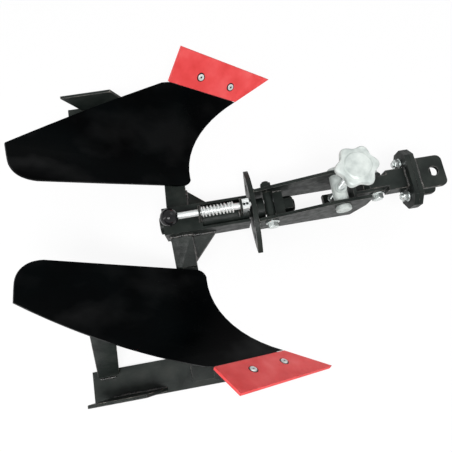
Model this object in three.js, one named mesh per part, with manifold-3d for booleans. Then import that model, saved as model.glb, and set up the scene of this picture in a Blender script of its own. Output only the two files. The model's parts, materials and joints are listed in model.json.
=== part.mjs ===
// Reversible two-bottom moldboard plough for a walking tractor, lying on its two landsides.
// Millimetres, +Z up. +X is the turnover axis, towards the hitch. The two bottoms mirror each other in y = 0.
import * as THREE from 'three';
import Module from 'manifold-3d';

const wasm = await Module();
wasm.setup();

// ---------------------------------------------------------------- driving dimensions
const gap = 0.3; // between welded or bolted pieces
const axisZ = 50; // turnover axis above the landsides' soles
const tipX = 110.61; // share points from the middle of the object's length

// bottoms: share, moldboard, landside
const edgeY = 302; // cutting edge from the turnover axis
const edgeAngle = THREE.MathUtils.degToRad(39.5); // cutting edge from the line of travel
const edgeLength = 228;
const shareWidth = 67;
const shareAngle = THREE.MathUtils.degToRad(39); // share face from the furrow bottom
const shareThickness = 6;
const shareWingRake = 2; // the wing end leans back by this much
const boardRadius = 185; // cross section of the moldboard
const boardThickness = 5;
const boardReach = 269; // along the generator, from the wing end of the share to the rear corner
const boardEdgeBulge = 16; // of the outer edge's curve, at its control point
const boardTop = 216; // top edge above the furrow bottom, at the front
const boardTopRise = 26; // the top edge climbs by this much to the rear
const boardRearDrop = 36; // the rear corner's lower end below the top edge
const boardRearCorner = 38; // radius
const boardSweep = THREE.MathUtils.degToRad(54); // the face turns this far from the share to upright
const braceSetback = 120; // from the moldboard's rear end, along the generator
const braceWidth = 38;
const braceLean = 36; // the brace's foot is behind its head by this much
const braceThickness = 6;
const landsideThickness = 6;
const landsideWidth = 58;
const landsideEdge = 7; // the landside's lower edge above the furrow bottom
const frogFront = -124;
const frogHeight = 40;
const landsideTail = 8; // beyond the brace's foot
const finHeight = 56;
const finLength = 98;
const finThickness = 6;
const finSlant = 28;

// middle: housing, legs, gussets
const housingWidth = 50;
const housingRear = -262;
const topPlateLength = 70;
const stripThickness = 5;
const housingFront = -105;
const shaftRadius = 11;
const nutLength = 18;
const blockLength = 18; // of the block that the arms are welded to
const runningGap = 0.5;
const moveGap = 5; // between pieces that move past each other
const legWidth = 39;
const legX = -234.5;
const legThickness = 20;
const legInset = 12; // the leg ends this far inside the landside's outer edge
const gussetReach = 46;
const gussetThickness = 8;

// turnover lock
const pinRadius = 6;
const pinOffset = 47; // lock pin above the turnover axis
const pinTravel = 10;
const knobRadius = 16;
const springWire = 1.2; // radius
const springTurns = 9;
const lockPlateLength = 162;
const lockPlateWidth = 76;
const lockPlateThickness = 9;
const bossRadius = 22; // round the shaft, in front of the lock plate
const lockPlateX = -100;

// adjustable hitch
const armSpan = 62; // over the outer faces of the two arms
const armThickness = 6;
const armSetback = 17; // the arms end behind the pivot by this much
const armBelow = 26; // lower edge below the turnover axis
const armAbovePivot = 28;
const armChamfer = 16;
const crossBoltX = -66;
const boltRadius = 6;
const boltTip = 3; // a bolt stands out of its nut by this much
const hexOverRadius = 3; // a hexagon's width across flats over its bolt's radius
const headHeight = 9;
const washerThickness = 2.5;
const spacerWall = 2.3;
const washerRadius = 13;
const trunnionX = 60;
const trunnionZ = 46;
const trunnionRadius = 14;
const trunnionOut = 9; // it stands out of the arms by this much
const pivotX = 126;
const pivotZ = 43;
const drawbarWidth = 38;
const tongueWidth = 22;
const cheekThickness = 6;
const cheekMargin = 15; // from the pivot's centre to the cheeks' edges
const bracketX = 80;
const leverZ = -5; // top of the lever under the screw
const leverThickness = 12;
const neckSetback = 28; // the lever's upright part behind the pivot
const barHalf = 14; // half the drawbar's height
const screwRadius = 6;
const footRadius = 10;
const footHeight = 5;
const footGap = 0.8; // between the screw's foot and the lever
const wheelRadius = 36;
const wheelThickness = 17;
const lobes = 6;
const lobeDepth = 0.1; // over the wheel's radius
const hubRadius = 15;
const hubLength = 26;
const wheelRise = 97; // handwheel's underside above the trunnion's centre
const flangeX = 182;
const flangeThickness = 8;
const flangeWidth = 106;
const flangeHeight = 54;
const flangeBoltOffset = 31;
const flangeBoltRadius = 5;
const flangeWasher = 2;
const flangeHead = 7;
const flangeNut = 9;
const spigotRadius = 9; // the fork turns on it in the drawbar's end
const spigotClearance = 1;
const spigotLength = 14;
const flangeCorner = 16;
const rollAngle = THREE.MathUtils.degToRad(10); // the fork rolls this far each way
const forkPlateThickness = 7;
const forkGap = 36;
const forkWidth = 58;
const forkLength = 48;
const forkHoleRadius = 8.5;
const forkHoleInset = 20;
const forkCorner = 11;

// ---------------------------------------------------------------- materials
function paint(color, roughness, metalness = 0.2) {
  return new THREE.MeshStandardMaterial({ color, roughness, metalness });
}
const blackPaint = () => paint(0x1c1d1f, 0.3);
const framePaint = () => paint(0x2b2c2c, 0.45);
const redPaint = () => paint(0xd83a3c, 0.45);
const zinc = () => paint(0xc4c7c9, 0.35, 0.9);
const castAlloy = () => paint(0xc9cccd, 0.5, 0.7);
const blackPlastic = () => paint(0x101011, 0.15, 0);

// ---------------------------------------------------------------- solids
const identity = new THREE.Matrix4();

function solid(geometry, matrix = identity) {
  const flat = geometry.clone().applyMatrix4(matrix);
  flat.deleteAttribute('normal');
  flat.deleteAttribute('uv');
  const points = [];
  const order = [];
  const seen = new Map();
  const position = flat.getAttribute('position');
  const index = flat.index ? Array.from(flat.index.array) : [...Array(position.count).keys()];
  for (const i of index) {
    const p = [position.getX(i), position.getY(i), position.getZ(i)];
    const key = p.map((v) => Math.round(v * 1e4)).join();
    if (!seen.has(key)) {
      seen.set(key, points.length / 3);
      points.push(...p);
    }
    order.push(seen.get(key));
  }
  const triangles = [];
  const mirrored = matrix.determinant() < 0;
  for (let t = 0; t < order.length; t += 3) {
    const [a, b, c] = order.slice(t, t + 3);
    if (a !== b && b !== c && a !== c) triangles.push(...(mirrored ? [a, c, b] : [a, b, c]));
  }
  return new wasm.Manifold(
    new wasm.Mesh({
      numProp: 3,
      vertProperties: new Float32Array(points),
      triVerts: new Uint32Array(triangles),
    }),
  );
}

function box(x0, x1, y0, y1, z0, z1) {
  const geometry = new THREE.BoxGeometry(x1 - x0, y1 - y0, z1 - z0);
  return solid(geometry, new THREE.Matrix4().makeTranslation((x0 + x1) / 2, (y0 + y1) / 2, (z0 + z1) / 2));
}

// A round bar of the given radius between two points.
function bar(radius, from, to, sides = 28) {
  const a = new THREE.Vector3(...from);
  const b = new THREE.Vector3(...to);
  const along = b.clone().sub(a);
  const turn = new THREE.Quaternion().setFromUnitVectors(new THREE.Vector3(0, 1, 0), along.clone().normalize());
  const middle = a.add(b).multiplyScalar(0.5);
  const matrix = new THREE.Matrix4().compose(middle, turn, new THREE.Vector3(1, 1, 1));
  return solid(new THREE.CylinderGeometry(radius, radius, along.length(), sides), matrix);
}

const outline = (points) => new THREE.Shape(points.map(([u, v]) => new THREE.Vector2(u, v)));

// Extrudes a shape whose own x, y and depth run along the three given axes.
function extrude(shape, depth, origin, u, v, w, curveSegments = 16) {
  const geometry = new THREE.ExtrudeGeometry(shape, { depth, bevelEnabled: false, curveSegments });
  const matrix = new THREE.Matrix4().makeBasis(
    new THREE.Vector3(...u),
    new THREE.Vector3(...v),
    new THREE.Vector3(...w),
  );
  matrix.setPosition(...origin);
  return solid(geometry, matrix);
}

const plateXY = (shape, z0, z1) => extrude(shape, z1 - z0, [0, 0, z0], [1, 0, 0], [0, 1, 0], [0, 0, 1]);
const plateXZ = (shape, y0, y1) => extrude(shape, y1 - y0, [0, y0, 0], [1, 0, 0], [0, 0, 1], [0, 1, 0]);
const plateYZ = (shape, x0, x1) => extrude(shape, x1 - x0, [x0, 0, 0], [0, 1, 0], [0, 0, 1], [1, 0, 0]);

function hexagon(centreU, centreV, acrossFlats) {
  const corner = acrossFlats / Math.sqrt(3);
  const points = [];
  for (let i = 0; i < 6; i++) {
    const angle = (i * Math.PI) / 3;
    points.push([centreU + corner * Math.cos(angle), centreV + corner * Math.sin(angle)]);
  }
  return outline(points);
}

function roundedRectangle(u0, u1, v0, v1, r0, r1) {
  const shape = new THREE.Shape();
  shape.moveTo(u0 + r0, v0);
  shape.lineTo(u1 - r1, v0);
  if (r1 > 0) shape.absarc(u1 - r1, v0 + r1, r1, -Math.PI / 2, 0, false);
  shape.lineTo(u1, v1 - r1);
  if (r1 > 0) shape.absarc(u1 - r1, v1 - r1, r1, 0, Math.PI / 2, false);
  shape.lineTo(u0 + r0, v1);
  if (r0 > 0) shape.absarc(u0 + r0, v1 - r0, r0, Math.PI / 2, Math.PI, false);
  shape.lineTo(u0, v0 + r0);
  if (r0 > 0) shape.absarc(u0 + r0, v0 + r0, r0, Math.PI, 1.5 * Math.PI, false);
  return shape;
}

const plough = new THREE.Group();
plough.name = 'reversible_moldboard_plough';

function addNode(name, body, material) {
  const { vertProperties, triVerts, numProp } = body.getMesh();
  const positions = new Float32Array(triVerts.length * 3);
  triVerts.forEach((vertex, i) => {
    for (let k = 0; k < 3; k++) positions[i * 3 + k] = vertProperties[vertex * numProp + k];
  });
  const geometry = new THREE.BufferGeometry();
  geometry.setAttribute('position', new THREE.BufferAttribute(positions, 3));
  geometry.computeVertexNormals();
  const mesh = new THREE.Mesh(geometry, material);
  mesh.name = name;
  mesh.position.x = tipX;
  plough.add(mesh);
}

// ---------------------------------------------------------------- one bottom, on side +1 or -1
// A bottom is drawn in its own directions: along the cutting edge, across it towards the landside, and up
// from the furrow bottom, which points to the turnover axis while the plough lies down.
const sin = Math.sin(edgeAngle);
const cos = Math.cos(edgeAngle);
const sideNames = { 1: 'left', '-1': 'right' };

const alongEdge = [-cos, 0, sin];
const acrossEdge = [-sin, 0, -cos];
const up = (side) => [0, -side, 0];

// A profile in (across, up) swept along the cutting edge's direction from one distance to another.
function sweepAlongEdge(side, shape, from, to) {
  const origin = [alongEdge[0] * from, side * edgeY, alongEdge[2] * from];
  return extrude(shape, to - from, origin, acrossEdge, up(side), alongEdge, 20);
}

// An outline in (along, up) swept across the cutting edge.
function sweepAcrossEdge(side, shape, from, to) {
  const origin = [acrossEdge[0] * from, side * edgeY, acrossEdge[2] * from];
  return extrude(shape, to - from, origin, alongEdge, up(side), acrossEdge, 12);
}

// The board's face is an arc that starts at the share's top and leans forward above boardUpright.
const seamUp = shareWidth * Math.sin(shareAngle);
const seamAcross = shareWidth * Math.cos(shareAngle);
const boardUpright = seamUp + boardRadius * Math.sin(boardSweep);
const arcCentreAcross = seamAcross - boardRadius * Math.cos(boardSweep);
const reach = edgeLength + boardReach;
const wingEnd = edgeLength + shareWingRake;
const far = 600;
const overrun = 40; // blanks run past what trims them by this much
const aboveFloor = (level) => box(-far, far, -far, far, level, far);

// How far across a face moved back by the given amount lies at a height.
function faceAcross(offset, height) {
  const radius = boardRadius + offset;
  return arcCentreAcross + radius * Math.cos(Math.asin((height - boardUpright) / radius));
}

// Points of the face, moved back by the given amount, from one height to another.
function faceArc(offset, upFrom, upTo) {
  const steps = 14;
  const radius = boardRadius + offset;
  const from = Math.asin((upFrom - boardUpright) / radius);
  const to = Math.asin((upTo - boardUpright) / radius);
  const points = [];
  for (let i = 0; i <= steps; i++) {
    const angle = from + ((to - from) * i) / steps;
    points.push([arcCentreAcross + radius * Math.cos(angle), boardUpright + radius * Math.sin(angle)]);
  }
  return points;
}

// Everything in front of a line given in (across, up) from the cutting edge upwards.
function sweepFront(side, line, top) {
  const shape = outline([...line, [-far / 2, top], [-far / 2, 0]].reverse());
  return sweepAlongEdge(side, shape, -2 * overrun, reach + overrun);
}

function buildShare(side) {
  const shape = outline([
    [0, 0],
    [edgeLength, 0],
    [wingEnd, shareWidth],
    [(seamAcross * cos) / sin, shareWidth],
  ]);
  const inPlane = [
    acrossEdge[0] * Math.cos(shareAngle),
    -side * Math.sin(shareAngle),
    acrossEdge[2] * Math.cos(shareAngle),
  ];
  const back = [
    acrossEdge[0] * Math.sin(shareAngle),
    side * Math.cos(shareAngle),
    acrossEdge[2] * Math.sin(shareAngle),
  ];
  const blank = extrude(shape, shareThickness, [0, side * edgeY, 0], alongEdge, inPlane, back);
  return blank.intersect(aboveFloor(0));
}

const soleLevel = 0.6; // the board clears the floor by this much
const boardRearTop = boardTop + boardTopRise;
const shinTop = (faceAcross(0, boardTop) * cos + soleLevel) / sin; // where the top edge meets the floor
const wingShoulder = [wingEnd + 14, seamUp + 3];
const rearCornerLow = [reach, boardTop - boardRearDrop];
const edgeMiddle = wingShoulder.map((v, i) => (v + rearCornerLow[i]) / 2);

// The board's outline in (along, up); its front edge is where the floor cuts it.
function boardOutline() {
  const topCorner = 24;
  const rearLean = 4;
  const shape = new THREE.Shape();
  shape.moveTo(overrun, seamUp - overrun / 2);
  shape.lineTo(wingEnd, seamUp - overrun / 2);
  shape.lineTo(wingEnd, seamUp);
  shape.lineTo(...wingShoulder);
  shape.quadraticCurveTo(edgeMiddle[0], edgeMiddle[1] - boardEdgeBulge, ...rearCornerLow);
  shape.lineTo(reach - rearLean / 2, boardRearTop - boardRearCorner);
  const topRear = reach - rearLean;
  shape.quadraticCurveTo(topRear, boardRearTop - 4, topRear - boardRearCorner, boardRearTop - 3);
  shape.lineTo(shinTop + topCorner, boardTop);
  shape.quadraticCurveTo(shinTop + 6, boardTop - 1, shinTop, boardTop - topCorner * 0.75);
  shape.lineTo(shinTop - overrun, boardTop - topCorner * 2);
  shape.lineTo(overrun, seamUp);
  return shape;
}

function buildBoard(side) {
  const low = seamUp + gap;
  const high = boardRearTop + 4;
  const section = outline([...faceArc(0, low, high), ...faceArc(boardThickness, low, high).reverse()]);
  const sheet = sweepAlongEdge(side, section, 0, reach + overrun);
  const trim = sweepAcrossEdge(side, boardOutline(), -2 * overrun, boardRadius);
  return sheet.intersect(trim).intersect(aboveFloor(soleLevel));
}

// Everything in front of the back faces of the share and the board.
function frontOfBoard(side, clearance) {
  const low = seamUp + clearance;
  const high = boardTop + 6;
  const shareDepth = (shareThickness + clearance) / Math.sin(shareAngle);
  const arc = faceArc(boardThickness + clearance, low, high);
  const line = [[shareDepth, 0], [seamAcross + shareDepth, low], ...arc];
  return sweepFront(side, line, high);
}

// The brace stands between the landside's inner edge and the board's back, near the board's rear end.
const braceAlong = reach - braceSetback;
const outlineRise = (rearCornerLow[1] - wingShoulder[1]) / (rearCornerLow[0] - wingShoulder[0]);
const braceHeadUp = wingShoulder[1] + outlineRise * (braceAlong - wingShoulder[0]) + 12;
const braceHeadAcross = faceAcross(boardThickness, braceHeadUp);
const braceHeadX = alongEdge[0] * braceAlong + acrossEdge[0] * braceHeadAcross;
const braceHeadZ = alongEdge[2] * braceAlong + acrossEdge[2] * braceHeadAcross;
const braceRear = braceHeadX - braceLean - braceWidth / 2;

const landsideRear = braceRear - landsideTail;
const landsideOuter = edgeY - landsideEdge;
const landsideInner = landsideOuter - landsideWidth;
const onSide = (side, inner, outer) => (side > 0 ? [inner, outer] : [-outer, -inner]);

function buildLandside(side) {
  const across = onSide(side, landsideInner, landsideOuter);
  const blank = box(landsideRear, 0, ...across, 0, landsideThickness);
  return blank.subtract(frontOfBoard(side, gap));
}

const legFoot = landsideThickness + gap; // what stands on the landside starts here

// The upright fin on the rear of the landside.
function buildFin(side) {
  const rear = landsideRear + 4;
  const shape = outline([
    [rear + finSlant, legFoot],
    [rear + finSlant + finLength, legFoot],
    [rear + finLength, legFoot + finHeight],
    [rear, legFoot + finHeight],
  ]);
  const outer = landsideOuter - 3;
  return plateXZ(shape, ...onSide(side, outer - finThickness, outer));
}

const legFront = legX + legWidth / 2;
const legRear = legX - legWidth / 2;
const housingHalf = housingWidth / 2;
const weldRoot = housingHalf + gap; // what is welded to the housing's side starts here
const legTop = axisZ + 6;
const legBend = edgeY - boardTop; // the leg passes behind the board's top edge here

// The leg drops from the housing's side to the landside, behind the board.
function buildLeg(side) {
  const end = landsideOuter - legInset;
  const points = [
    [weldRoot, legTop],
    [weldRoot, axisZ - housingHalf],
    [legBend - 28, legFoot],
    [end, legFoot],
    [end, legFoot + legThickness],
    [legBend, legFoot + legThickness],
  ].map(([y, z]) => [side * y, z]);
  const blank = plateYZ(outline(side > 0 ? points : points.reverse()), legRear, legFront);
  return blank.subtract(frontOfBoard(side, gap));
}

// A sloping corner plate between the leg's front and the housing's side.
function buildGusset(side) {
  const drop = (legTop - legFoot - legThickness) / (legBend - weldRoot);
  const top = legTop - 10;
  const length = gussetReach + 4;
  const points = [
    [weldRoot, top],
    [weldRoot + length, top - drop * length],
    [weldRoot + length, top - drop * length - gussetThickness],
    [weldRoot, top - gussetThickness],
  ].map(([y, z]) => [side * y, z]);
  const slab = plateYZ(outline(side > 0 ? points.reverse() : points), legFront, housingFront);
  const corner = legFront + gap;
  const triangle = [
    [corner, side * weldRoot],
    [corner + gussetReach, side * weldRoot],
    [corner, side * (weldRoot + gussetReach)],
  ];
  return slab.intersect(plateXY(outline(side > 0 ? triangle : triangle.reverse()), 0, far));
}

// The frog backs the share and the foot of the board, and stands on the landside.
function buildFrog(side) {
  const rear = legFront + gap;
  const across = onSide(side, landsideInner + 6, landsideOuter - 10);
  return box(rear, frogFront, ...across, legFoot, legFoot + frogHeight).subtract(frontOfBoard(side, gap));
}

// A flat bar from the back of the board down to the landside.
function buildBrace(side) {
  const foot = landsideInner + 8;
  const head = edgeY - braceHeadUp;
  const points = [
    [foot, 0],
    [foot + braceThickness, 0],
    [head + braceThickness, braceHeadZ + overrun / 2],
    [head, braceHeadZ + overrun / 2],
  ].map(([y, z]) => [side * y, z]);
  const flat = outline(side > 0 ? points : points.reverse());
  const leaning = [braceLean / braceHeadZ, 0, 1];
  const blank = extrude(flat, braceWidth, [braceRear, 0, 0], [0, 1, 0], leaning, [1, 0, 0]);
  return blank.subtract(frontOfBoard(side, gap)).intersect(aboveFloor(legFoot));
}

for (const side of [1, -1]) {
  const name = sideNames[side];
  addNode(`share_${name}`, buildShare(side), redPaint());
  addNode(`moldboard_${name}`, buildBoard(side), blackPaint());
  addNode(`landside_${name}`, buildLandside(side), framePaint());
  addNode(`heel_fin_${name}`, buildFin(side), framePaint());
  addNode(`leg_${name}`, buildLeg(side), framePaint());
  addNode(`gusset_${name}`, buildGusset(side), framePaint());
  addNode(`frog_${name}`, buildFrog(side), framePaint());
  addNode(`brace_${name}`, buildBrace(side), framePaint());
}

// ---------------------------------------------------------------- turnover housing, shaft and lock
// A welded box whose top plate ends at the rear guide; past it a round tube shows between the side strips.
const housingTop = axisZ + housingHalf;
const rearGuideX = housingRear + topPlateLength;
const tubeRadius = housingHalf - stripThickness;
let housing = box(housingRear, housingFront, -housingHalf, housingHalf, axisZ - housingHalf, housingTop);
const channel = box(rearGuideX, housingFront + 1, -tubeRadius, tubeRadius, axisZ, housingTop + 1);
housing = housing.subtract(channel);
housing = housing.add(bar(tubeRadius, [rearGuideX - 1, 0, axisZ], [housingFront, 0, axisZ], 48));
const shaftBore = bar(shaftRadius + runningGap, [housingRear - 1, 0, axisZ], [housingFront + 1, 0, axisZ]);
addNode('turnover_housing', housing.subtract(shaftBore), framePaint());

const lockPlateFront = lockPlateX + lockPlateThickness;
const armRear = lockPlateFront + gap;
const spacerRadius = boltRadius + spacerWall;
const crossBoltZ = shaftRadius + spacerRadius + 1; // above the turnover axis
const blockRear = crossBoltX + spacerRadius + 1;
const blockFront = blockRear + blockLength;
const shaftFront = blockFront + gap + nutLength + 4;
const shaft = bar(shaftRadius, [housingRear - gap - 1, 0, axisZ], [shaftFront, 0, axisZ]);
const shaftHeadLength = 7;
const shaftHeadRear = housingRear - gap - shaftHeadLength;
const shaftHead = bar(shaftRadius + 5, [shaftHeadRear, 0, axisZ], [housingRear - gap, 0, axisZ]);
addNode('turnover_shaft', shaft.add(shaftHead), framePaint());

// An eye-shaped plate: two equal arcs that meet at the ends.
function eyeShape(length, width) {
  const a = length / 2;
  const b = width / 2;
  const radius = (a * a + b * b) / (2 * b);
  const half = Math.asin(a / radius);
  const shape = new THREE.Shape();
  shape.absarc(0, axisZ + b - radius, radius, Math.PI / 2 - half, Math.PI / 2 + half, false);
  shape.absarc(0, axisZ - b + radius, radius, 1.5 * Math.PI - half, 1.5 * Math.PI + half, false);
  return shape;
}

const pinHoleClearance = 1;
let lockPlate = plateYZ(eyeShape(lockPlateLength, lockPlateWidth), lockPlateX, lockPlateFront);
lockPlate = lockPlate.subtract(
  bar(shaftRadius + gap, [lockPlateX - 1, 0, axisZ], [lockPlateFront + 1, 0, axisZ]),
);
for (const side of [1, -1]) {
  const y = side * pinOffset;
  lockPlate = lockPlate.subtract(
    bar(pinRadius + pinHoleClearance, [lockPlateX - 1, y, axisZ], [lockPlateFront + 1, y, axisZ]),
  );
}
addNode('lock_plate', lockPlate, framePaint());

const bossFront = crossBoltX - spacerRadius - gap;
const bossBore = bar(shaftRadius + gap, [lockPlateX, 0, axisZ], [crossBoltX, 0, axisZ]);
const bossBlank = bar(bossRadius, [armRear, 0, axisZ], [bossFront, 0, axisZ], 40);
addNode('shaft_boss', bossBlank.subtract(bossBore), framePaint());

const armInner = armSpan / 2 - armThickness;
const blockBottom = axisZ - shaftRadius - 10;
const blockTop = axisZ + shaftRadius + 10;
let shaftBlock = box(blockRear, blockFront, -armInner + gap, armInner - gap, blockBottom, blockTop);
shaftBlock = shaftBlock.subtract(
  bar(shaftRadius + gap, [blockRear - 1, 0, axisZ], [blockFront + 1, 0, axisZ]),
);
addNode('shaft_block', shaftBlock, framePaint());

const nutHole = bar(shaftRadius + gap, [blockFront, 0, axisZ], [blockFront + nutLength + 2, 0, axisZ]);
const nutRear = blockFront + gap;
const nutBlank = plateYZ(hexagon(0, axisZ, hexOverRadius * shaftRadius), nutRear, nutRear + nutLength);
addNode('shaft_nut', nutBlank.subtract(nutHole), framePaint());

// Lock pin, retracted just behind the lock plate.
const pinZ = axisZ + pinOffset;
const pinLength = 146; // from the knob's centre to the tip
const pinTip = lockPlateX - 2;
const knobX = pinTip - pinLength;
const guideThickness = 4;
const guideHalf = 13;
const frontGuideX = -122;
const collarThickness = 3;
const collarClearance = 1.5;
const collarX = frontGuideX - pinTravel - collarClearance - collarThickness;
const springRadius = pinRadius + springWire + 0.7; // to the middle of the wire

// An upright plate with a round top and a hole for the pin, standing at the given height.
function buildGuide(x0, x1, foot) {
  const shape = new THREE.Shape();
  shape.moveTo(-guideHalf, foot);
  shape.lineTo(guideHalf, foot);
  shape.lineTo(guideHalf, pinZ);
  shape.absarc(0, pinZ, guideHalf, 0, Math.PI, false);
  return plateYZ(shape, x0, x1).subtract(bar(pinRadius + runningGap, [x0 - 1, 0, pinZ], [x1 + 1, 0, pinZ]));
}

const tubeTop = axisZ + tubeRadius + gap;
addNode('pin_guide_rear', buildGuide(rearGuideX - guideThickness, rearGuideX, housingTop + gap), framePaint());
addNode('pin_guide_front', buildGuide(frontGuideX, frontGuideX + guideThickness, tubeTop), framePaint());

const sleeveRear = frontGuideX + guideThickness + gap;
const sleeveLength = 12;
const sleeveFront = sleeveRear + sleeveLength;
const sleeveHalf = pinRadius + 3;
const sleeve = box(sleeveRear, sleeveFront, -sleeveHalf, sleeveHalf, pinZ - sleeveHalf, pinZ + sleeveHalf);
const sleevePost = box(sleeveRear, sleeveFront - 2, -pinRadius, pinRadius, tubeTop, pinZ - pinRadius);
const sleeveBore = bar(pinRadius + runningGap, [sleeveRear - 1, 0, pinZ], [sleeveFront + 1, 0, pinZ]);
addNode('pin_sleeve', sleeve.add(sleevePost).subtract(sleeveBore), zinc());

const socketDepth = 6;
const pinRear = knobX + knobRadius - socketDepth;
const pinBody = bar(pinRadius, [pinRear, 0, pinZ], [pinTip, 0, pinZ]);
addNode('lock_pin', pinBody, zinc());
const collarBlank = bar(springRadius + 2, [collarX, 0, pinZ], [collarX + collarThickness, 0, pinZ]);
const collarHole = bar(pinRadius + gap, [collarX - 1, 0, pinZ], [collarX + collarThickness + 1, 0, pinZ]);
addNode('pin_collar', collarBlank.subtract(collarHole), zinc());

const knobMatrix = new THREE.Matrix4().makeTranslation(knobX, 0, pinZ);
const knobBall = solid(new THREE.SphereGeometry(knobRadius, 32, 20), knobMatrix);
const knobSocket = bar(pinRadius + gap, [pinRear - gap, 0, pinZ], [knobX + 2 * knobRadius, 0, pinZ]);
addNode('pin_knob', knobBall.subtract(knobSocket), blackPlastic());

class Helix extends THREE.Curve {
  constructor(x0, x1, radius, turns) {
    super();
    Object.assign(this, { x0, x1, radius, turns });
  }

  getPoint(t) {
    const angle = t * this.turns * 2 * Math.PI;
    const x = this.x0 + (this.x1 - this.x0) * t;
    return new THREE.Vector3(x, this.radius * Math.cos(angle), pinZ + this.radius * Math.sin(angle));
  }
}

const springStart = rearGuideX + springWire + gap;
const springEnd = collarX - springWire - gap;
const wireSection = new THREE.Shape();
wireSection.absarc(0, 0, springWire, 0, 2 * Math.PI, false);
const springGeometry = new THREE.ExtrudeGeometry(wireSection, {
  steps: springTurns * 14,
  curveSegments: 4,
  bevelEnabled: false,
  extrudePath: new Helix(springStart, springEnd, springRadius, springTurns),
});
addNode('pin_spring', solid(springGeometry), zinc());

// ---------------------------------------------------------------- hitch frame: arms, cross bolts, trunnion
const armBolt = [crossBoltX, axisZ + crossBoltZ];
const pivot = [pivotX, axisZ + pivotZ];

const armFront = pivotX - armSetback;
function armShape() {
  const shape = new THREE.Shape();
  const bottom = axisZ - armBelow;
  const top = axisZ + pivotZ + armAbovePivot;
  const corner = 10;
  shape.moveTo(armRear, bottom);
  shape.lineTo(armFront - armChamfer, bottom);
  shape.lineTo(armFront, axisZ + armBelow);
  shape.lineTo(armFront, top - corner);
  shape.quadraticCurveTo(armFront, top, armFront - corner, top);
  shape.lineTo(trunnionX - trunnionRadius, top - 3);
  shape.lineTo(armRear, axisZ + crossBoltZ + washerRadius + 1);
  return shape;
}

const boltHole = boltRadius + gap;
for (const side of [1, -1]) {
  const y0 = side > 0 ? armInner : -armInner - armThickness;
  let arm = plateXZ(armShape(), y0, y0 + armThickness);
  for (const [x, z, radius] of [
    [...armBolt, boltHole],
    [trunnionX, axisZ + trunnionZ, trunnionRadius + gap],
  ]) {
    arm = arm.subtract(bar(radius, [x, y0 - 1, z], [x, y0 + armThickness + 1, z]));
  }
  addNode(`frame_arm_${sideNames[side]}`, arm, framePaint());
}

// A cross bolt on the Y axis: shank, a washer and head on one end, a washer and nut on the other.
function crossBolt(x, z, radius, halfSpan) {
  const end = halfSpan + gap + washerThickness + headHeight;
  let bolt = bar(radius, [x, -end, z], [x, end + boltTip, z]);
  const hex = hexagon(x, z, hexOverRadius * radius);
  for (const side of [1, -1]) {
    const face = side * (halfSpan + gap);
    bolt = bolt.add(bar(washerRadius, [x, face, z], [x, face + side * washerThickness, z]));
    const head0 = face + side * washerThickness;
    const head1 = head0 + side * headHeight;
    bolt = bolt.add(plateXZ(hex, Math.min(head0, head1), Math.max(head0, head1)));
  }
  return bolt;
}

addNode('rear_cross_bolt', crossBolt(...armBolt, boltRadius, armSpan / 2), zinc());
const spacerLength = armInner - gap;
const spacerEnds = [-spacerLength, spacerLength].map((y) => [armBolt[0], y, armBolt[1]]);
const spacerOuter = bar(spacerRadius, ...spacerEnds);
const spacerHole = bar(boltHole, [armBolt[0], -armInner, armBolt[1]], [armBolt[0], armInner, armBolt[1]]);
addNode('cross_bolt_spacer', spacerOuter.subtract(spacerHole), framePaint());

// The pivot bracket: a wall welded between the arms, with two cheeks that carry the drawbar's tongue.
const tongueHalf = tongueWidth / 2;
const cheekInner = tongueHalf + runningGap;
const cheekOuter = cheekInner + cheekThickness;
const cheekFront = pivotX + cheekMargin;
function cheekShape() {
  const shape = new THREE.Shape();
  shape.moveTo(bracketX, axisZ + pivotZ - cheekMargin);
  shape.lineTo(pivotX, axisZ + pivotZ - cheekMargin);
  shape.absarc(pivotX, axisZ + pivotZ, cheekMargin, -Math.PI / 2, Math.PI / 2, false);
  shape.lineTo(bracketX, axisZ + pivotZ + cheekMargin);
  return shape;
}
const wallHalf = armInner - gap;
const wallTop = axisZ + pivotZ + cheekMargin;
const wallBottom = axisZ + pivotZ - cheekMargin;
let bracket = box(bracketX, bracketX + armThickness, -wallHalf, wallHalf, wallBottom, wallTop);
for (const side of [1, -1]) {
  bracket = bracket.add(plateXZ(cheekShape(), ...onSide(side, cheekInner, cheekOuter)));
}
const pivotBore = bar(boltHole, [pivotX, -armSpan, pivot[1]], [pivotX, armSpan, pivot[1]]);
addNode('pivot_bracket', bracket.subtract(pivotBore), framePaint());
addNode('front_cross_bolt', crossBolt(...pivot, boltRadius, cheekOuter), zinc());

const trunnionEnd = armSpan / 2 + trunnionOut;
const trunnionCentre = [trunnionX, axisZ + trunnionZ];
const trunnionBar = bar(
  trunnionRadius,
  [trunnionCentre[0], -trunnionEnd, trunnionCentre[1]],
  [trunnionCentre[0], trunnionEnd, trunnionCentre[1]],
  36,
);
const screwBore = bar(screwRadius + runningGap, [trunnionX, 0, axisZ], [trunnionX, 0, axisZ + 2 * trunnionZ]);
addNode('screw_trunnion', trunnionBar.subtract(screwBore), castAlloy());

// ---------------------------------------------------------------- depth screw and handwheel
const leverTop = axisZ + leverZ;
const footBottom = leverTop + footGap;
const footTop = footBottom + footHeight;
const footProfile = [
  [0, footBottom],
  [footRadius * 0.4, footBottom + 0.4],
  [footRadius, footBottom + 1.6],
  [footRadius, footTop],
  [0, footTop],
].map(([r, z]) => new THREE.Vector2(r, z));
// A profile of (radius, height) turned about the screw's axis.
function turned(profile, sides) {
  const matrix = new THREE.Matrix4().makeRotationX(Math.PI / 2);
  matrix.premultiply(new THREE.Matrix4().makeTranslation(trunnionX, 0, 0));
  return solid(new THREE.LatheGeometry(profile, sides), matrix);
}
addNode('screw_foot', turned(footProfile, 28), zinc());

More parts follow.
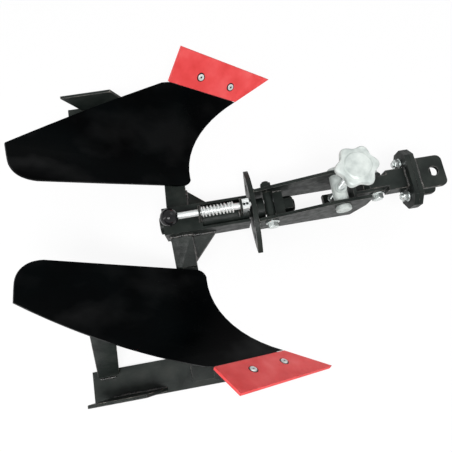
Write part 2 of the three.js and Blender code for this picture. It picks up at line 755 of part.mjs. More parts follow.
const wheelBottom = trunnionCentre[1] + wheelRise;
const screwTop = wheelBottom + wheelThickness * 0.7;
addNode(
  'depth_screw',
  bar(screwRadius, [trunnionX, 0, footTop + gap], [trunnionX, 0, screwTop]),
  zinc(),
);

function wheelShape() {
  const points = [];
  const steps = 96;
  for (let i = 0; i < steps; i++) {
    const angle = (i * 2 * Math.PI) / steps;
    const radius = wheelRadius * (1 - lobeDepth + lobeDepth * Math.cos(lobes * angle));
    points.push([trunnionX + radius * Math.cos(angle), radius * Math.sin(angle)]);
  }
  return outline(points);
}
const hub = bar(hubRadius, [trunnionX, 0, wheelBottom - hubLength], [trunnionX, 0, wheelBottom + 1]);
const hubBore = bar(screwRadius + gap, [trunnionX, 0, 0], [trunnionX, 0, screwTop + gap]);
addNode(
  'handwheel',
  plateXY(wheelShape(), wheelBottom, wheelBottom + wheelThickness).add(hub).subtract(hubBore),
  castAlloy(),
);

// ---------------------------------------------------------------- drawbar with its lever and flange
const drawbarHalf = drawbarWidth / 2;
const drawbarTop = axisZ + pivotZ + barHalf;
const drawbarBottom = axisZ + pivotZ - barHalf;
const leverEnd = trunnionX - footRadius - 8;
const leverNeck = pivotX - neckSetback;
// The tongue with its lever lies between the cheeks; the wide bar starts in front of them.
const tongueShape = outline([
  [leverEnd, leverTop - leverThickness],
  [leverNeck + leverThickness, leverTop - leverThickness],
  [pivotX + cheekMargin, drawbarBottom],
  [flangeX - gap, drawbarBottom],
  [flangeX - gap, drawbarTop],
  [pivotX - barHalf, drawbarTop],
  [leverNeck + leverThickness / 2, drawbarTop - 10],
  [leverNeck, leverTop],
  [leverEnd, leverTop],
]);
const barRear = cheekFront + moveGap;
let drawbar = plateXZ(tongueShape, -tongueHalf, tongueHalf);
drawbar = drawbar.add(box(barRear, flangeX - gap, -drawbarHalf, drawbarHalf, drawbarBottom, drawbarTop));
drawbar = drawbar.subtract(pivotBore);
const rollZ = axisZ + pivotZ;
const spigotHole = spigotRadius + spigotClearance;
const spigotRoom = bar(spigotHole, [flangeX - spigotLength, 0, rollZ], [flangeX + 1, 0, rollZ]);
addNode('drawbar', drawbar.subtract(spigotRoom), framePaint());

function flangeShape() {
  const y = flangeWidth / 2;
  const z = flangeHeight / 2;
  const cut = flangeCorner;
  return outline([
    [-y + cut, rollZ - z],
    [y - cut, rollZ - z],
    [y, rollZ - z + cut],
    [y, rollZ + z - cut],
    [y - cut, rollZ + z],
    [-y + cut, rollZ + z],
    [-y, rollZ + z - cut],
    [-y, rollZ - z + cut],
  ]);
}

// A slot along an arc round the roll axis, with a bolt hole at each end of it.
function arcSlot(side, x0, x1) {
  const inner = flangeBoltOffset - flangeBoltRadius - runningGap;
  const outer = flangeBoltOffset + flangeBoltRadius + runningGap;
  const middle = side > 0 ? 0 : Math.PI;
  const shape = new THREE.Shape();
  shape.absarc(0, rollZ, outer, middle - rollAngle, middle + rollAngle, false);
  shape.absarc(0, rollZ, inner, middle + rollAngle, middle - rollAngle, true);
  let slot = plateYZ(shape, x0, x1);
  for (const end of [-rollAngle, rollAngle]) {
    const y = flangeBoltOffset * Math.cos(middle + end);
    const z = rollZ + flangeBoltOffset * Math.sin(middle + end);
    slot = slot.add(bar(flangeBoltRadius + runningGap, [x0, y, z], [x1, y, z]));
  }
  return slot;
}

const flangeFront = flangeX + flangeThickness;
let rearFlange = plateYZ(flangeShape(), flangeX, flangeFront);
for (const side of [1, -1]) rearFlange = rearFlange.subtract(arcSlot(side, flangeX - 1, flangeFront + 1));
rearFlange = rearFlange.subtract(bar(spigotHole, [flangeX - 1, 0, rollZ], [flangeFront + 1, 0, rollZ]));
addNode('drawbar_flange', rearFlange, framePaint());

// ---------------------------------------------------------------- fork
const forkFlangeX = flangeFront + runningGap;
const forkFlangeFront = forkFlangeX + flangeThickness;
let forkFlange = plateYZ(flangeShape(), forkFlangeX, forkFlangeFront);
for (const side of [1, -1]) {
  const y = side * flangeBoltOffset;
  forkFlange = forkFlange.subtract(
    bar(flangeBoltRadius + gap, [forkFlangeX - 1, y, rollZ], [forkFlangeFront + 1, y, rollZ]),
  );
}
forkFlange = forkFlange.add(
  bar(spigotRadius, [flangeX - spigotLength + 2 * spigotClearance, 0, rollZ], [forkFlangeX + 1, 0, rollZ]),
);
addNode('fork_flange', forkFlange, framePaint());

const forkRoot = forkFlangeFront + gap;
const forkFrontX = forkRoot + forkLength;
const forkHoleX = forkFrontX - forkHoleInset;
const forkHalf = forkWidth / 2;
const forkPlates = {
  upper: rollZ + forkGap / 2,
  lower: rollZ - forkGap / 2 - forkPlateThickness,
};
for (const [name, z] of Object.entries(forkPlates)) {
  const shape = roundedRectangle(forkRoot, forkFrontX, -forkHalf, forkHalf, 0, forkCorner);
  const hole = bar(forkHoleRadius, [forkHoleX, 0, z - 1], [forkHoleX, 0, z + forkPlateThickness + 1]);
  addNode(`fork_plate_${name}`, plateXY(shape, z, z + forkPlateThickness).subtract(hole), framePaint());
}

// A bolt along X through both flanges, head in front and nut behind.
function flangeBolt(side) {
  const y = side * flangeBoltOffset;
  const front = forkFlangeFront + gap;
  const rear = flangeX - gap;
  const hex = hexagon(y, rollZ, hexOverRadius * flangeBoltRadius);
  const nutFront = rear - flangeWasher;
  const nutRear = nutFront - flangeNut;
  let bolt = bar(flangeBoltRadius, [nutRear - boltTip, y, rollZ], [front + 1, y, rollZ], 20);
  bolt = bolt.add(plateYZ(hex, front, front + flangeHead));
  bolt = bolt.add(bar(2 * flangeBoltRadius, [nutFront, y, rollZ], [rear, y, rollZ], 24));
  return bolt.add(plateYZ(hex, nutRear, nutFront));
}
for (const side of [1, -1]) addNode(`flange_bolt_${sideNames[side]}`, flangeBolt(side), zinc());

export default plough;
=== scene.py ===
import json
import math

import bmesh
import bpy
from mathutils import Matrix, Vector, noise


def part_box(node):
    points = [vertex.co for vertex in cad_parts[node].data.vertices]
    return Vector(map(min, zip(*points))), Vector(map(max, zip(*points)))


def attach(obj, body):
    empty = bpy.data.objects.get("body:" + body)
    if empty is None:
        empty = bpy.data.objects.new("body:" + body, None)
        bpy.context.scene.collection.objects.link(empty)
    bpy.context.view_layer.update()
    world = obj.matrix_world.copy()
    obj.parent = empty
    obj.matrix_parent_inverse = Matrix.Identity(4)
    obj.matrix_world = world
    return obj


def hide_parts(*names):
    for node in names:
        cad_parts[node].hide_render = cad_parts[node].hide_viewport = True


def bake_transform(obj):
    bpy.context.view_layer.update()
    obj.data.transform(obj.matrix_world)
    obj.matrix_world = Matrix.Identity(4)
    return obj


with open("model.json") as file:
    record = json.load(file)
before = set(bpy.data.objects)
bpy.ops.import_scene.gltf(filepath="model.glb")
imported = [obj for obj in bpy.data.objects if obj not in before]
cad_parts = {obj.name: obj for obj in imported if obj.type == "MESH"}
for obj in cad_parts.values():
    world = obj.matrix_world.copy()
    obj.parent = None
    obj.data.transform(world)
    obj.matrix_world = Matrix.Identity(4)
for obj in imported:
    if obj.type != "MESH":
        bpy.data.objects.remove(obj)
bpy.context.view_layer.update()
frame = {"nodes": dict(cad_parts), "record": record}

NODES = frame["nodes"]
BODY = {
    node: body["name"] if isinstance(body, dict) else body
    for body, nodes in frame["record"]["behaviour"]["bodies"].items()
    for node in nodes
}
SLOT = {part["node"]: part["material_slot"] for part in frame["record"]["subparts"]}
SIDES = {"left": 1, "right": -1}
MM = 1000
ROUND = 48  # sides of a turned piece
SOFT_ROUND = 64  # sides of a larger turned piece
SHANK_ROUND = 32  # sides of a shank or thread


# ---------------------------------------------------------------- materials
def shader_of(made):
    return made.node_tree.nodes["Principled BSDF"]


def new_material(name, color, roughness, metallic=0.0, coat=0.0, coat_roughness=0.1):
    made = bpy.data.materials.new(name)
    made.use_nodes = True
    shader = shader_of(made)
    shader.inputs["Base Color"].default_value = (*color, 1)
    shader.inputs["Roughness"].default_value = roughness
    shader.inputs["Metallic"].default_value = metallic
    shader.inputs["Coat Weight"].default_value = coat
    shader.inputs["Coat Roughness"].default_value = coat_roughness
    made.diffuse_color = (*color, 1)
    return made


def add_noise(made, scale, detail=3, stretch=(1, 1, 1)):
    tree = made.node_tree
    place = tree.nodes.new("ShaderNodeTexCoord")
    mapping = tree.nodes.new("ShaderNodeMapping")
    mapping.inputs["Scale"].default_value = stretch
    made_noise = tree.nodes.new("ShaderNodeTexNoise")
    made_noise.inputs["Scale"].default_value = scale
    made_noise.inputs["Detail"].default_value = detail
    tree.links.new(place.outputs["Object"], mapping.inputs["Vector"])
    tree.links.new(mapping.outputs["Vector"], made_noise.inputs["Vector"])
    return made_noise.outputs["Fac"]


def add_ramp(made, factor, stops):
    ramp = made.node_tree.nodes.new("ShaderNodeValToRGB")
    elements = ramp.color_ramp.elements
    while len(elements) < len(stops):
        elements.new(0.5)
    for element, (position, color) in zip(elements, stops):
        element.position = position
        element.color = (*color, 1)
    made.node_tree.links.new(factor, ramp.inputs["Fac"])
    return ramp.outputs["Color"]


def vary_color(made, factor, stops):
    made.node_tree.links.new(add_ramp(made, factor, stops), shader_of(made).inputs["Base Color"])


def vary_value(made, factor, socket, low, high, start=0.35, stop=0.65):
    """Drives a shader socket from low to high as the factor goes from start to stop."""
    tree = made.node_tree
    spread = tree.nodes.new("ShaderNodeMapRange")
    spread.inputs["From Min"].default_value = start
    spread.inputs["From Max"].default_value = stop
    spread.inputs["To Min"].default_value = low
    spread.inputs["To Max"].default_value = high
    tree.links.new(factor, spread.inputs["Value"])
    tree.links.new(spread.outputs["Result"], shader_of(made).inputs[socket])


def vary_roughness(made, factor, low, high):
    vary_value(made, factor, "Roughness", low, high)


def add_bump(made, heights, distance):
    """Adds bumps one on another; heights are (factor, strength)."""
    tree = made.node_tree
    last = None
    for factor, strength in heights:
        bump = tree.nodes.new("ShaderNodeBump")
        bump.inputs["Strength"].default_value = strength
        bump.inputs["Distance"].default_value = distance
        tree.links.new(factor, bump.inputs["Height"])
        if last:
            tree.links.new(last, bump.inputs["Normal"])
        last = bump.outputs["Normal"]
    tree.links.new(last, shader_of(made).inputs["Normal"])


def black_enamel():
    made = new_material("black_enamel", (0.002, 0.0025, 0.003), 0.3, coat=0.1, coat_roughness=0.2)
    shader_of(made).inputs["Specular IOR Level"].default_value = 0.015
    shader_of(made).inputs["Coat Tint"].default_value = (0.78, 0.92, 1, 1)
    cloud = add_noise(made, 9, 4)
    vary_color(made, cloud, [(0.35, (0.0003, 0.0004, 0.0005)), (0.7, (0.001, 0.0017, 0.0019))])
    vary_roughness(made, add_noise(made, 6, 3, (1, 2, 1)), 0.2, 0.42)
    haze = add_noise(made, 9, 3, (1, 1.6, 1))
    vary_value(made, haze, "Coat Weight", 0.004, 0.11, 0.47, 0.66)
    peel = add_noise(made, 260, 2)
    rolled = add_noise(made, 7, 1, (1, 2, 1))
    add_bump(made, [(rolled, 0.08), (peel, 0.03)], 0.002)
    return made


def board_edge():
    made = new_material("board_edge", (0.12, 0.13, 0.13), 0.42)
    worn = add_noise(made, 90, 6)
    stops = [(0.4, (0.02, 0.024, 0.024)), (0.58, (0.12, 0.14, 0.135)), (0.75, (0.38, 0.41, 0.4))]
    vary_color(made, worn, stops)
    vary_roughness(made, add_noise(made, 200, 4), 0.3, 0.55)
    add_bump(made, [(add_noise(made, 500, 3), 0.15)], 0.0006)
    return made


def frame_paint():
    made = new_material("frame_paint", (0.02, 0.023, 0.022), 0.4)
    shader_of(made).inputs["Specular IOR Level"].default_value = 0.12
    cloud = add_noise(made, 26, 6)
    stops = [
        (0.32, (0.005, 0.0068, 0.006)),
        (0.5, (0.013, 0.017, 0.015)),
        (0.72, (0.025, 0.029, 0.0255)),
    ]
    vary_color(made, cloud, stops)
    vary_roughness(made, add_noise(made, 90, 4), 0.32, 0.48)
    add_bump(made, [(add_noise(made, 55, 3), 0.25), (add_noise(made, 420, 3), 0.14)], 0.0012)
    return made


def frame_edge():
    made = new_material("frame_edge", (0.05, 0.046, 0.042), 0.45)
    # the pale stops are partly worn paint and partly painted highlight on the rounded edges
    worn = add_noise(made, 110, 6)
    stops = [(0.42, (0.014, 0.015, 0.014)), (0.57, (0.07, 0.062, 0.054)), (0.72, (0.24, 0.225, 0.2))]
    vary_color(made, worn, stops)
    vary_roughness(made, add_noise(made, 200, 4), 0.3, 0.55)
    add_bump(made, [(add_noise(made, 500, 3), 0.2)], 0.0006)
    return made


def weld_paint():
    made = new_material("weld_paint", (0.02, 0.02, 0.019), 0.3)
    # dark stops are the bead's burnt tone, the pale stops painted highlight speckle on its ripples
    burnt_tone_and_glint = add_noise(made, 160, 5)
    stops = [(0.4, (0.006, 0.007, 0.007)), (0.58, (0.042, 0.04, 0.037)), (0.7, (0.13, 0.123, 0.114))]
    vary_color(made, burnt_tone_and_glint, stops)
    vary_roughness(made, add_noise(made, 240, 4), 0.18, 0.42)
    add_bump(made, [(add_noise(made, 600, 3), 0.35)], 0.0008)
    return made


def red_paint():
    made = new_material("red_paint", (0.72, 0.045, 0.055), 0.4)
    shader_of(made).inputs["Specular IOR Level"].default_value = 0.2
    cloud = add_noise(made, 24, 5)
    stops = [(0.3, (0.72, 0.05, 0.05)), (0.52, (0.8, 0.074, 0.075)), (0.75, (0.85, 0.12, 0.12))]
    vary_color(made, cloud, stops)
    vary_roughness(made, add_noise(made, 90, 4), 0.3, 0.5)
    add_bump(made, [(add_noise(made, 60, 3), 0.15), (add_noise(made, 500, 2), 0.08)], 0.001)
    return made


def red_edge():
    made = new_material("red_edge", (0.5, 0.03, 0.035), 0.45)
    worn = add_noise(made, 130, 6)
    stops = [(0.4, (0.5, 0.025, 0.03)), (0.66, (0.66, 0.05, 0.05)), (0.74, (0.32, 0.3, 0.29))]
    vary_color(made, worn, stops)
    vary_roughness(made, add_noise(made, 220, 3), 0.35, 0.55)
    add_bump(made, [(add_noise(made, 420, 2), 0.15)], 0.0006)
    return made


def zinc():
    made = new_material("zinc_plate", (0.5, 0.53, 0.52), 0.3, metallic=0.85)
    cloud = add_noise(made, 70, 4)
    stops = [(0.3, (0.4, 0.43, 0.42)), (0.55, (0.6, 0.64, 0.63)), (0.8, (0.74, 0.76, 0.73))]
    vary_color(made, cloud, stops)
    vary_roughness(made, add_noise(made, 160, 4), 0.2, 0.32)
    add_bump(made, [(add_noise(made, 700, 3), 0.03)], 0.0004)
    return made


def bright_steel():
    made = new_material("bright_steel", (0.84, 0.85, 0.84), 0.34, metallic=0.35)
    drawn = add_noise(made, 60, 4, (0.15, 3, 3))
    stops = [(0.3, (0.45, 0.48, 0.47)), (0.5, (0.66, 0.69, 0.68)), (0.75, (0.8, 0.81, 0.78))]
    vary_color(made, drawn, stops)
    vary_roughness(made, add_noise(made, 150, 4), 0.26, 0.44)
    add_bump(made, [(add_noise(made, 300, 2, (0.2, 2, 2)), 0.06)], 0.0004)
    return made


def cast_alloy():
    made = new_material("cast_alloy", (0.74, 0.78, 0.77), 0.45, metallic=0.2)
    cloud = add_noise(made, 60, 6)
    stops = [(0.3, (0.35, 0.39, 0.375)), (0.52, (0.52, 0.565, 0.54)), (0.78, (0.67, 0.71, 0.68))]
    vary_color(made, cloud, stops)
    vary_roughness(made, add_noise(made, 180, 4), 0.36, 0.58)
    add_bump(made, [(add_noise(made, 70, 4), 0.4), (add_noise(made, 800, 2), 0.2)], 0.0008)
    return made


def black_plastic():
    made = new_material("black_plastic", (0.01, 0.01, 0.011), 0.12, coat=0.12, coat_roughness=0.05)
    shader_of(made).inputs["Specular IOR Level"].default_value = 0.15
    vary_color(made, add_noise(made, 50, 3), [(0.35, (0.005, 0.005, 0.006)), (0.7, (0.01, 0.01, 0.011))])
    vary_roughness(made, add_noise(made, 200, 4), 0.08, 0.22)
    add_bump(made, [(add_noise(made, 120, 2), 0.05)], 0.0006)
    return made


PAINT = {
    "red_paint": (red_paint(), red_edge()),
    "black_gloss": (black_enamel(), board_edge()),
    "frame_paint": (frame_paint(), frame_edge()),
    "zinc": (zinc(),) * 2,
    "cast_alloy": (cast_alloy(),) * 2,
    "black_plastic": (black_plastic(),) * 2,
}
STEEL = (bright_steel(),) * 2
WELD = (weld_paint(),)
FINISH = {
    "pin_sleeve": STEEL,
    "pin_collar": STEEL,
}


# ---------------------------------------------------------------- mesh building
def new_piece(name, bm, body, slot, materials=None, smooth_deg=32, weighted=True):
    bmesh.ops.recalc_face_normals(bm, faces=bm.faces)
    mesh = bpy.data.meshes.new(name)
    bm.to_mesh(mesh)
    bm.free()
    for made in materials or PAINT[slot]:
        mesh.materials.append(made)
    mesh.shade_smooth()
    mesh.set_sharp_from_angle(angle=math.radians(smooth_deg))
    piece = bpy.data.objects.new(name, mesh)
    bpy.context.scene.collection.objects.link(piece)
    if weighted:
        piece.modifiers.new("weighted_normals", "WEIGHTED_NORMAL").keep_sharp = True
    if body:
        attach(piece, body)
    return piece


def round_edges(bm, width, min_angle_deg, segments):
    """Bevels the edges sharper than the angle; the new faces get the second material."""
    sharp = [
        edge
        for edge in bm.edges
        if edge.is_manifold and edge.calc_face_angle(0) > math.radians(min_angle_deg)
    ]
    if sharp:
        bmesh.ops.bevel(
            bm,
            geom=sharp,
            offset=width,
            offset_type="OFFSET",
            segments=segments,
            profile=0.5,
            affect="EDGES",
            clamp_overlap=True,
            material=1,
        )


def loose_object(name, bm):
    mesh = bpy.data.meshes.new(name)
    bm.to_mesh(mesh)
    bm.free()
    made = bpy.data.objects.new(name, mesh)
    bpy.context.scene.collection.objects.link(made)
    return made


def cut_away(bm, cutter_bm):
    """The mesh with the cutter's volume taken out of it."""
    bmesh.ops.recalc_face_normals(cutter_bm, faces=cutter_bm.faces)
    blank = loose_object("blank", bm)
    cutter = loose_object("cutter", cutter_bm)
    modifier = blank.modifiers.new("cut", "BOOLEAN")
    modifier.operation = "DIFFERENCE"
    modifier.solver = "EXACT"
    modifier.object = cutter
    graph = bpy.context.evaluated_depsgraph_get()
    result = bmesh.new()
    result.from_object(blank, graph)
    for used in (blank, cutter):
        mesh = used.data
        bpy.data.objects.remove(used)
        bpy.data.meshes.remove(mesh)
    return result


def rounded_copy(node, width, segments=2, min_angle_deg=28, cutter=None):
    """A copy of a CAD node with rounded edges that stands for it."""
    bm = bmesh.new()
    bm.from_mesh(NODES[node].data)
    bm.transform(NODES[node].matrix_world)
    bmesh.ops.remove_doubles(bm, verts=bm.verts, dist=1e-6)
    bmesh.ops.dissolve_limit(bm, angle_limit=math.radians(0.8), verts=bm.verts, edges=bm.edges)
    round_edges(bm, width, min_angle_deg, segments)
    if cutter:
        bm = cut_away(bm, cutter)
    piece = new_piece(node + "_rounded", bm, BODY[node], SLOT[node], FINISH.get(node))
    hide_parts(node)
    return piece


def basis(origin, axis):
    """A matrix whose local z runs along the axis from the origin."""
    turn = Vector(axis).normalized().to_track_quat("Z", "Y").to_matrix().to_4x4()
    return Matrix.Translation(Vector(origin)) @ turn


def add_rings(bm, rings):
    """Joins rings of points into a skin with capped ends."""
    made = [[bm.verts.new(point) for point in ring] for ring in rings]
    count = len(made[0])
    for a, b in zip(made, made[1:]):
        for i in range(count):
            j = (i + 1) % count
            bm.faces.new((a[i], a[j], b[j], b[i]))
    bm.faces.new(list(reversed(made[0])))
    bm.faces.new(made[-1])


def round_point(radius, angle, height):
    return Vector((radius * math.cos(angle), radius * math.sin(angle), height))


def angles(sides):
    return [2 * math.pi * i / sides for i in range(sides)]


def add_turned(bm, matrix, profile, sides=ROUND):
    """Turns (radius, height) points about the matrix's z."""
    around = angles(sides)
    rings = [[matrix @ round_point(radius, angle, height) for angle in around] for radius, height in profile]
    add_rings(bm, rings)


HEX_CHAMFER = 0.0012


def add_hex(bm, matrix, across_flats, height, both=False):
    """A hexagon head with a chamfered outer face, or a nut with both faces chamfered."""
    inner = across_flats / 2

    def ring(level, limit):
        """A hexagon whose corners are cut off at the limit."""
        points = []
        for angle in angles(ROUND):
            fold = (angle + math.pi / 6) % (math.pi / 3) - math.pi / 6
            radius = min(inner / math.cos(fold), limit)
            points.append(matrix @ round_point(radius, angle, level))
        return points

    wide = across_flats
    narrow = inner * 0.98
    rings = [ring(0, narrow), ring(HEX_CHAMFER, inner * 1.16)] if both else [ring(0, wide)]
    rings += [
        ring(height - HEX_CHAMFER, wide),
        ring(height - HEX_CHAMFER * 0.4, inner * 1.07),
        ring(height, narrow),
    ]
    add_rings(bm, rings)


def add_thread(bm, matrix, radius, length, pitch=0.0016):
    """A threaded end with a chamfered tip."""
    depth = pitch * 0.42
    profile = [(radius, 0)]
    level = 0.0
    while level < length - pitch:
        profile += [(radius, level + pitch * 0.15), (radius - depth, level + pitch * 0.6)]
        level += pitch
    profile += [(radius, level), (radius, length - 0.001), (radius - 0.0012, length)]
    add_turned(bm, matrix, profile, SHANK_ROUND)


def add_washer(bm, matrix, radius, thickness):
    edge = thickness * 0.25
    inner = radius - edge
    add_turned(bm, matrix, [(inner, 0), (radius, edge), (radius, thickness - edge), (inner, thickness)])


BEAD_STEP = 0.0011  # between its rings
BEAD_RIPPLE = 0.0034  # between its ripples
BEAD_SIDES = 10


def add_bead(bm, points, radius, seed):
    """A weld bead: a lumpy rope of ripples along the points."""
    path = [Vector(p) for p in points]
    rings = []
    travelled = 0.0
    for a, b in zip(path, path[1:]):
        length = (b - a).length
        matrix = basis((0, 0, 0), b - a)
        count = max(2, int(length / BEAD_STEP))
        for k in range(count + 1):
            along = travelled + length * k / count
            ripple = abs(math.sin(along / BEAD_RIPPLE * math.pi))
            lump = noise.noise(Vector((along * 90, seed, 0.3)))
            size = radius * (0.82 + 0.2 * ripple + 0.3 * lump)
            drift = radius * 0.35 * noise.noise(Vector((along * 60, 7.1, seed)))
            centre = a.lerp(b, k / count) + matrix @ Vector((drift, 0, 0))
            rings.append([centre + matrix @ round_point(size, angle, 0) for angle in angles(BEAD_SIDES)])
        travelled += length
    add_rings(bm, rings)


def weld(name, body, runs, radius):
    bm = bmesh.new()
    for seed, points in enumerate(runs):
        add_bead(bm, points, radius, seed * 3.7 + len(name))
    new_piece(name, bm, body, "frame_paint", WELD, 60, False)


# ---------------------------------------------------------------- plain CAD pieces with rounded edges
PLAIN_EDGE = 0.0009
EDGE_WIDTH = {
    "turnover_housing": 0.0025,
    "landside_left": 0.001,
    "landside_right": 0.001,
    "leg_left": 0.0022,
    "leg_right": 0.0022,
    "frog_left": 0.003,
    "frog_right": 0.003,
    "shaft_block": 0.0015,
    "drawbar": 0.0025,
}
# nodes that get a piece of their own further down
REMADE = {
    "moldboard_left",
    "moldboard_right",
    "pin_spring",
    "pin_knob",
    "handwheel",
    "depth_screw",
    "screw_trunnion",
    "rear_cross_bolt",
    "front_cross_bolt",
    "flange_bolt_left",
    "flange_bolt_right",
    "lock_pin",
    "pin_sleeve",
    "share_left",
    "share_right",
}
for node in NODES:
    if node not in REMADE:
        rounded_copy(node, EDGE_WIDTH.get(node, PLAIN_EDGE))


def corners(node):
    low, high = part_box(node)
    return Vector(low), Vector(high)


def middle(node):
    low, high = corners(node)
    return (low + high) / 2


# ---------------------------------------------------------------- shares and moldboards
EDGE_Y = 0.302  # the cutting edges' distance from the middle
EDGE_ANGLE = math.radians(39.5)  # how steeply a cutting edge rises to the rear
SHARE_ANGLE = math.radians(39)  # how far a share's face leans over
SHARE_WIDTH = 0.067
SHARE_BOLTS = (0.090, 0.166)  # along the edge from the tip
BOLT_ACROSS = 0.61  # part of the share's width
RECESS_RADIUS = 0.0089
TIP_X = corners("share_left")[1].x


def share_point(side, along, across):
    """A point of the share's face, and the way out of it."""
    edge = Vector((-math.cos(EDGE_ANGLE), 0, math.sin(EDGE_ANGLE)))
    inward = Vector((-math.sin(EDGE_ANGLE), 0, -math.cos(EDGE_ANGLE)))
    up = Vector((0, -side, 0))
    plane = inward * math.cos(SHARE_ANGLE) + up * math.sin(SHARE_ANGLE)
    out = up * math.cos(SHARE_ANGLE) - inward * math.sin(SHARE_ANGLE)
    origin = Vector((TIP_X, side * EDGE_Y, 0))
    return origin + edge * along + plane * across, out


def share_with_bolts(side_name):
    """The share with two round recesses, a round-headed bolt in each, and black painted shade in the
    recesses and the bolts' sockets.
    """
    side = SIDES[side_name]
    recess = bmesh.new()
    heads = bmesh.new()
    sockets = bmesh.new()
    recess_shade = bmesh.new()
    for along in SHARE_BOLTS:
        at, out = share_point(side, along, SHARE_WIDTH * BOLT_ACROSS)
        place = basis(at, out)
        add_turned(recess, place, [(RECESS_RADIUS, -0.0018), (RECESS_RADIUS + 0.0003, 0.002)])
        head = [(0.0061, -0.0008), (0.0065, 0.0002), (0.0062, 0.0008), (0.0052, 0.0013), (0.003, 0.0015)]
        add_turned(heads, place, head)
        add_turned(sockets, place, [(0.0023, -0.0006), (0.0026, 0.003)], 6)
        # a black disc under each head and a black hex in its socket's floor: painted shade in the recess and
        # the socket
        add_turned(recess_shade, place, [(RECESS_RADIUS - 0.0003, -0.0016), (RECESS_RADIUS - 0.0005, -0.0009)])
        add_turned(recess_shade, place, [(0.002, -0.0005), (0.0018, 0.0003)], 6)
    rounded_copy("share_" + side_name, 0.0007, cutter=recess)
    new_piece("share_bolts_" + side_name, cut_away(heads, sockets), "plough_body", "zinc", STEEL)
    # the black piece that paints the shade in the recesses and sockets
    new_piece("share_recess_shade_" + side_name, recess_shade, "plough_body", "frame_paint")


for side_name in SIDES:
    share_with_bolts(side_name)
    rounded_copy("moldboard_" + side_name, 0.0011, 3, 40)


# ---------------------------------------------------------------- lock pin, knob, spring
pin_low, pin_high = corners("lock_pin")
pin_middle = middle("lock_pin")
pin_radius = (pin_high.z - pin_low.z) / 2
knob_low, knob_high = corners("pin_knob")
knob_radius = (knob_high.z - knob_low.z) / 2
knob_centre = Vector((knob_low.x + knob_radius, 0, middle("pin_knob").z))

bm = bmesh.new()
rod_length = pin_high.x - pin_low.x
rod = [
    (pin_radius - 0.0006, 0),
    (pin_radius, 0.0006),
    (pin_radius, rod_length - 0.004),
    (pin_radius - 0.0007, rod_length - 0.0025),
    (pin_radius - 0.0022, rod_length),
]
add_turned(bm, basis((pin_low.x, 0, pin_middle.z), (1, 0, 0)), rod)
piece = new_piece("lock_pin_rod", bm, "lock_pin", "zinc", STEEL)
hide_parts("lock_pin")

bm = bmesh.new()
# the ball ends short of its front pole, where its neck takes the rod
profile = []
for i in range(1, 44):
    angle = math.pi * i / ROUND
    profile.append((knob_radius * math.sin(angle), -knob_radius * math.cos(angle)))
neck = knob_radius * 0.5
profile += [(neck, profile[-1][1] + 0.0004), (neck, knob_radius - 0.0008), (neck - 0.0008, knob_radius)]
add_turned(bm, basis(knob_centre, (1, 0, 0)), profile, SOFT_ROUND)
piece = new_piece("knob_ball", bm, "lock_pin", "black_plastic")
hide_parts("pin_knob")


SPRING_TURNS = 9
TURN_STEPS = 36
WIRE_SIDES = 12
WIRE = 0.0017  # the wire's radius
DEAD = 0.09  # part of the turns that lies closed at each end
CLOSED_PITCH = 0.8  # closed turns, in wires
spring_low, spring_high = corners("pin_spring")
coil_radius = pin_radius + WIRE + 0.0003
spring_z = knob_centre.z
bm = bmesh.new()
rings = []
steps = SPRING_TURNS * TURN_STEPS
free = spring_high.x - spring_low.x - 2 * WIRE - 4 * CLOSED_PITCH * WIRE
for k in range(steps + 1):
    t = k / steps
    angle = 2 * math.pi * SPRING_TURNS * t
    pitch = min(1, max(0, (t - DEAD) / (1 - 2 * DEAD)))
    closed = (min(t, DEAD) + max(0, t - 1 + DEAD)) / DEAD
    x = spring_low.x + WIRE + 2 * WIRE * closed * CLOSED_PITCH + free * pitch
    outward = Vector((0, math.cos(angle), math.sin(angle)))
    centre = Vector((x, 0, spring_z)) + outward * coil_radius
    ring = []
    for turn in angles(WIRE_SIDES):
        ring.append(centre + outward * (WIRE * math.cos(turn)) + Vector((WIRE * math.sin(turn), 0, 0)))
    rings.append(ring)
add_rings(bm, rings)
piece = new_piece("spring_coil", bm, None, "zinc", STEEL, 60, False)
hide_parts("pin_spring")
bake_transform(piece)


# ---------------------------------------------------------------- handwheel, screw and trunnion
wheel_low, wheel_high = corners("handwheel")
wheel_radius = (wheel_high.x - wheel_low.x) / 2
wheel_x = (wheel_low.x + wheel_high.x) / 2
WHEEL_THICKNESS = 0.017
WHEEL_SIDES = 144
HUB_LENGTH = 0.026
HUB_RADIUS = 0.015
HUB_BORE = 0.004
LOBES = 6
LOBE_DEPTH = 0.1  # part of the radius
LOBE_START = 0.45  # part of the radius where the lobes begin
wheel_base = wheel_high.z - WHEEL_THICKNESS
hub_foot = wheel_high.z - HUB_LENGTH - WHEEL_THICKNESS


def star(angle, radius):
    """The radius in the direction of the angle, with the lobes growing towards the rim."""
    reach = radius / wheel_radius
    dip = LOBE_DEPTH * max(0, (reach - LOBE_START) / (1 - LOBE_START)) ** 1.5
    return radius * (1 - dip + dip * math.cos(LOBES * angle))


